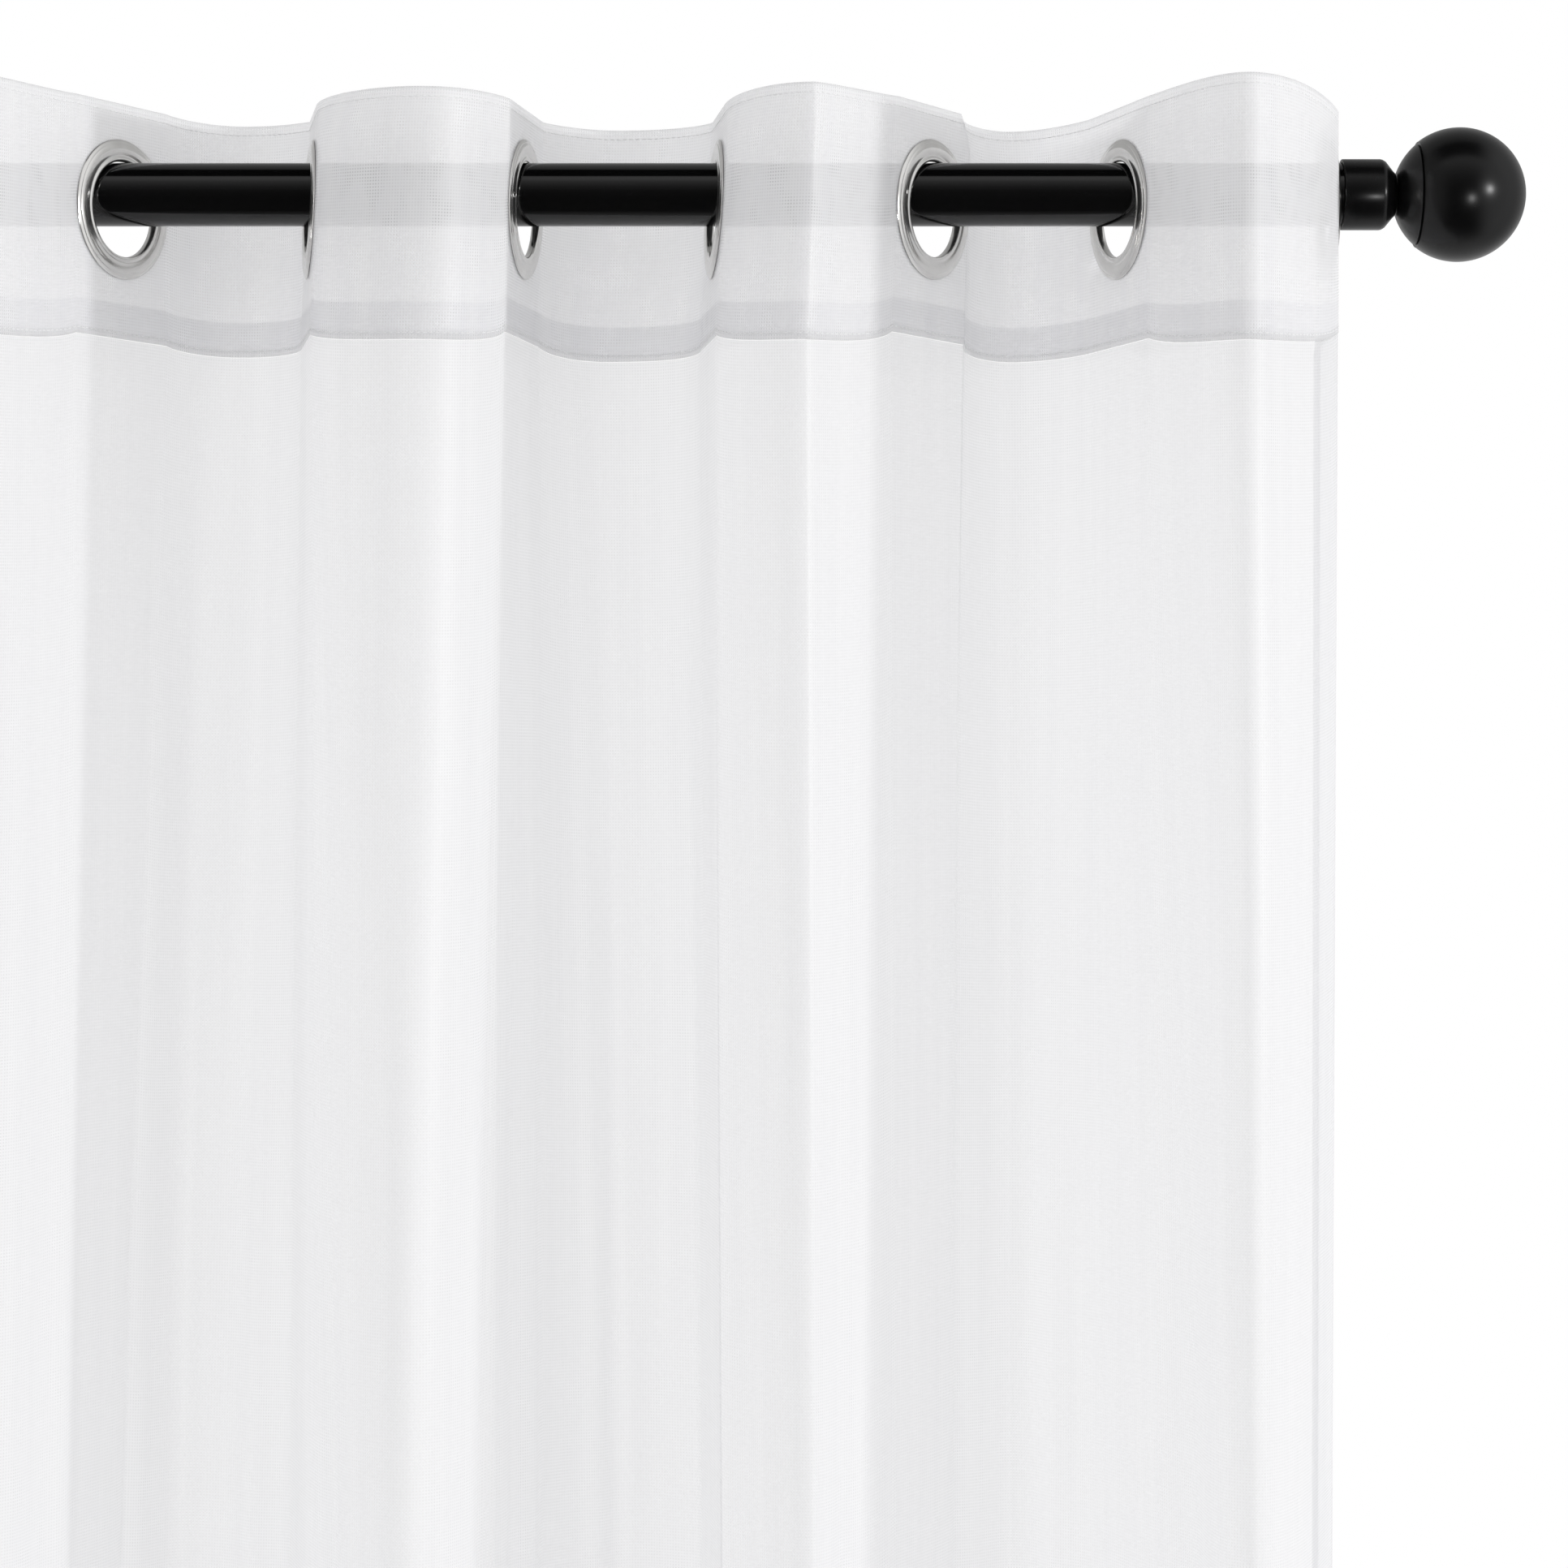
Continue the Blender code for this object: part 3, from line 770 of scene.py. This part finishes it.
def build_cloth(double, turned_in, single, thread):
    heading = sheet_mesh("heading_doubled", heading_rows(), HEADING_THICKNESS, double)
    cut_holes(heading)
    raw_edge = 1 - TURN_IN / HEADING_LENGTH
    turn_in = sheet_mesh("heading_turn_in", heading_rows(raw_edge, 0.985, 4), 0, turned_in)
    shares = voile_shares()
    panel = sheet_mesh("voile_panel", [voile_row(share) for share in shares], 0, single)
    drop = PANEL_LENGTH - HEADING_LENGTH
    hem_rows = [voile_row(1 - BOTTOM_HEM / drop * (6 - step) / 6, HEM_OFF) for step in range(7)]
    bottom = sheet_mesh("hem_bottom", hem_rows, STRIP_THICKNESS, single,
                        lambda flat: SIDE_HEM < flat < PANEL_WIDTH - SIDE_HEM)
    side_rows = [voile_row(share, HEM_OFF) for share in shares]
    left = sheet_mesh("hem_left", side_rows, STRIP_THICKNESS, single,
                      lambda flat: flat <= SIDE_HEM)
    right = sheet_mesh("hem_right", side_rows, STRIP_THICKNESS, single,
                       lambda flat: flat >= PANEL_WIDTH - SIDE_HEM)
    for piece in (turn_in, panel, bottom, left, right):
        apply_modifiers(piece)
    tree = stitch_tree(thread)
    off = HEADING_THICKNESS / 2 + 0.05
    seam_row = heading_rows(SEAM_STITCHES, 1.0, 1)[0]
    top_row = heading_rows(TOP_STITCHES, 1.0, 1)[0]
    heading_stitches = stitched("heading_stitches",
                                both_faces(seam_row, off) + both_faces(top_row, off),
                                tree, Pitch=2.6 * MM, Length=2.1 * MM)
    hem_line = voile_row(1 - (BOTTOM_HEM - STITCHES_IN) / drop)
    paths = both_faces(hem_line, 0.9)[1:] + both_faces(hem_line, 0.15)[:1]
    for column_flat in (SIDE_HEM - STITCHES_IN, PANEL_WIDTH - SIDE_HEM + STITCHES_IN):
        column = min(range(len(side_rows[0].points)),
                     key=lambda number: abs(side_rows[0].flats[number][0] - column_flat))
        paths.append([row.points[column] for row in side_rows])
    hem_stitches = stitched("hem_stitches", paths, tree, Pitch=3.0 * MM, Length=2.2 * MM)
    return heading, turn_in, panel, [bottom, left, right], heading_stitches, hem_stitches


def studio():
    """White surroundings that are dimmer straight from the right and left front. Glossy things
    mirror a room of their own: a ramp over height in front of the rod, and paler sides. A side
    lamp lights the cloth, and two softboxes show in gloss alone."""
    world = bpy.data.worlds.new("studio")
    bpy.context.scene.world = world
    world.use_nodes = True
    world.cycles.sampling_method = "NONE"
    tree = world.node_tree
    tree.nodes.clear()
    way = node(tree, "ShaderNodeTexCoord").outputs["Generated"]
    parts = node(tree, "ShaderNodeSeparateXYZ", {0: way})
    across = node(tree, "ShaderNodeVectorMath", {0: way, 1: (0.87, -0.50, 0.0)},
                  operation="DOT_PRODUCT").outputs["Value"]
    slope = node(tree, "ShaderNodeVectorMath", {0: way, 1: (0.18, 0.24, 0.0)},
                 operation="DOT_PRODUCT").outputs["Value"]
    level = maths(tree, "ADD", slope, 1.05)
    fill = maths(tree, "MULTIPLY_ADD", maths(tree, "MULTIPLY", across, across), -0.50)
    tree.links.new(level, fill.node.inputs[2])
    toward = maths(tree, "MULTIPLY", parts.outputs["Y"], -1.0)
    rise = maths(tree, "ARCTAN2", parts.outputs["Z"], toward)
    rise = node(tree, "ShaderNodeMapRange", {"Value": rise, "From Min": -math.pi,
                                             "From Max": math.pi}).outputs["Result"]
    ramp = node(tree, "ShaderNodeValToRGB", {"Fac": rise})
    stops = ((-180, 0.70), (-100, 0.70), (-84, 0.25), (-70, 0.04), (-20, 0.03), (5, 0.06),
             (22, 0.20), (40, 0.46), (52, 0.80), (61.5, 0.66), (63.5, 0.0), (94, 0.0),
             (97, 0.26), (120, 0.34), (180, 0.55))
    ramp.color_ramp.elements.remove(ramp.color_ramp.elements[1])
    for number, (degrees, value) in enumerate(stops):
        if number:
            ramp.color_ramp.elements.new((degrees + 180) / 360)
        ramp.color_ramp.elements[number].position = (degrees + 180) / 360
        ramp.color_ramp.elements[number].color = (value, value, value, 1.0)
    sideways = maths(tree, "ABSOLUTE", parts.outputs["X"])
    side = node(tree, "ShaderNodeMapRange",
                {"Value": sideways, "From Min": 0.30, "From Max": 0.75},
                interpolation_type="SMOOTHSTEP").outputs["Result"]
    right_value = node(tree, "ShaderNodeMapRange", {"Value": parts.outputs["Y"], "From Min": -0.20,
                                                    "From Max": 0.40, "To Min": 0.90,
                                                    "To Max": 0.50},
                       interpolation_type="SMOOTHSTEP").outputs["Result"]
    on_right = node(tree, "ShaderNodeMapRange", {"Value": parts.outputs["X"], "From Min": -0.2,
                                                 "From Max": 0.2}).outputs["Result"]
    side_value = node(tree, "ShaderNodeMix", {0: on_right, 6: (0.45, 0.45, 0.45, 1.0),
                                              7: right_value}, data_type="RGBA").outputs[2]
    mirror = node(tree, "ShaderNodeMix", {0: side, 6: ramp.outputs["Color"], 7: side_value},
                  data_type="RGBA").outputs[2]
    rays = node(tree, "ShaderNodeLightPath")
    lit = node(tree, "ShaderNodeMix", {0: rays.outputs["Is Glossy Ray"], 6: fill, 7: mirror},
               data_type="RGBA").outputs[2]
    seen = node(tree, "ShaderNodeMix", {0: rays.outputs["Is Camera Ray"], 6: lit,
                                        7: (1.0, 1.0, 1.0, 1.0)}, data_type="RGBA").outputs[2]
    background = node(tree, "ShaderNodeBackground", {"Color": seen})
    node(tree, "ShaderNodeOutputWorld", {"Surface": background.outputs[0]})
    for name, way_to, size, power, lights_cloth in (
            ("side_lamp", Vector((0.96, -0.28, 0.03)), 0.25, 59.0, True),
            ("key_softbox", Vector((0.75, -0.66, 0.04)), 0.42, 42.0, False),
            ("fill_softbox", Vector((0.32, -0.92, -0.24)), 0.30, 20.0, False)):
        lamp = bpy.data.lights.new(name, "AREA")
        lamp.shape = "DISK"
        lamp.size = size
        lamp.energy = power
        holder = bpy.data.objects.new(name, lamp)
        holder.location = way_to.normalized() * LAMP_DISTANCE
        holder.rotation_euler = (-way_to).to_track_quat("-Z", "Y").to_euler()
        holder.visible_diffuse = lights_cloth
        holder.visible_glossy = not lights_cloth
        bpy.context.scene.collection.objects.link(holder)


def place_camera():
    lens = bpy.data.cameras.new("camera")
    lens.sensor_fit = "HORIZONTAL"
    lens.sensor_width = SENSOR
    lens.lens = FOCAL_PIXELS / FRAME_PIXELS * SENSOR
    lens.clip_start = 0.05
    lens.clip_end = 60.0
    camera = bpy.data.objects.new("camera", lens)
    camera.location = Vector(CAMERA_AT) * MM
    camera.rotation_euler = (math.radians(90), 0.0, 0.0)
    bpy.context.scene.collection.objects.link(camera)
    bpy.context.scene.camera = camera


def place_floor():
    corners = [(x * FLOOR_HALF, y * FLOOR_HALF, FLOOR * MM)
               for x, y in ((-1, -1), (1, -1), (1, 1), (-1, 1))]
    mesh = bpy.data.meshes.new("studio_floor")
    mesh.from_pydata(corners, [], [(0, 1, 2, 3)])
    mesh.materials.append(plain_floor("pale_floor"))
    floor = link_piece("studio_floor", mesh)
    floor.visible_glossy = False


scene = bpy.context.scene
scene.view_settings.view_transform = "Standard"
scene.cycles.transparent_max_bounces = 12
scene.cycles.max_bounces = 6
scene.cycles.diffuse_bounces = 3
scene.cycles.transmission_bounces = 4
scene.cycles.glossy_bounces = 2
place_camera()
place_floor()
studio()

rod_black = gloss_black("baked_enamel_gloss", 0.08, 0.7, 0.5)
finial_black = gloss_black("baked_enamel_satin", 0.25, 0.5, 0.28)
ring_metal = nickel("polished_nickel_plate")
sewing_thread = thread_white("polyester_thread")
# The doubled heading is the panel's voile painted in paler tones: painted light that lifts the
# heading. The slub noise between the two tones is the thread's own.
HEADING_PAINTED_LIGHT_TONES = ("#F8F8FA", "#FEFEFE")
heading_front, heading_back = [
    voile(name, (1.15, 1.20), share=0.48, on_thread=0.27, in_gap=0.36, bunched=0.52,
          tones=HEADING_PAINTED_LIGHT_TONES)
    for name in ("doubled_voile_room_face", "doubled_voile_wall_face")]
# The turn-in is the same voile in tones paler than the panel's and darker than the heading's:
# painted light, held below the heading's as a painted shade on the band where it lies between the
# heading's layers.
turn_in_voile = voile("turned_in_voile", (1.15, 1.20), share=0.50, on_thread=0.32, in_gap=0.42,
                      bunched=0.50, tones=("#F4F4F6", "#F9F9FB"))
single_voile = voile("sheer_voile_weave", (1.15, 1.22), share=0.50, on_thread=0.32, in_gap=0.40,
                     bunched=0.46)

rod = build_rod(rod_black)
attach(rod, "root")
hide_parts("rod")
for piece, stands_for in build_finials(finial_black):
    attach(piece, "root")
    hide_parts(stands_for)
for piece, stands_for in build_rings(ring_metal):
    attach(piece, "root")
    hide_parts(stands_for)

heading, turn_in, panel, hems, heading_stitches, hem_stitches = build_cloth(
    [heading_front, heading_back], [turn_in_voile], [single_voile], sewing_thread)
for piece in (heading, turn_in, heading_stitches):
    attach(piece, "root")
for piece in (panel, hem_stitches, *hems):
    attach(piece, "root")
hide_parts("heading")
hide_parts("voile")
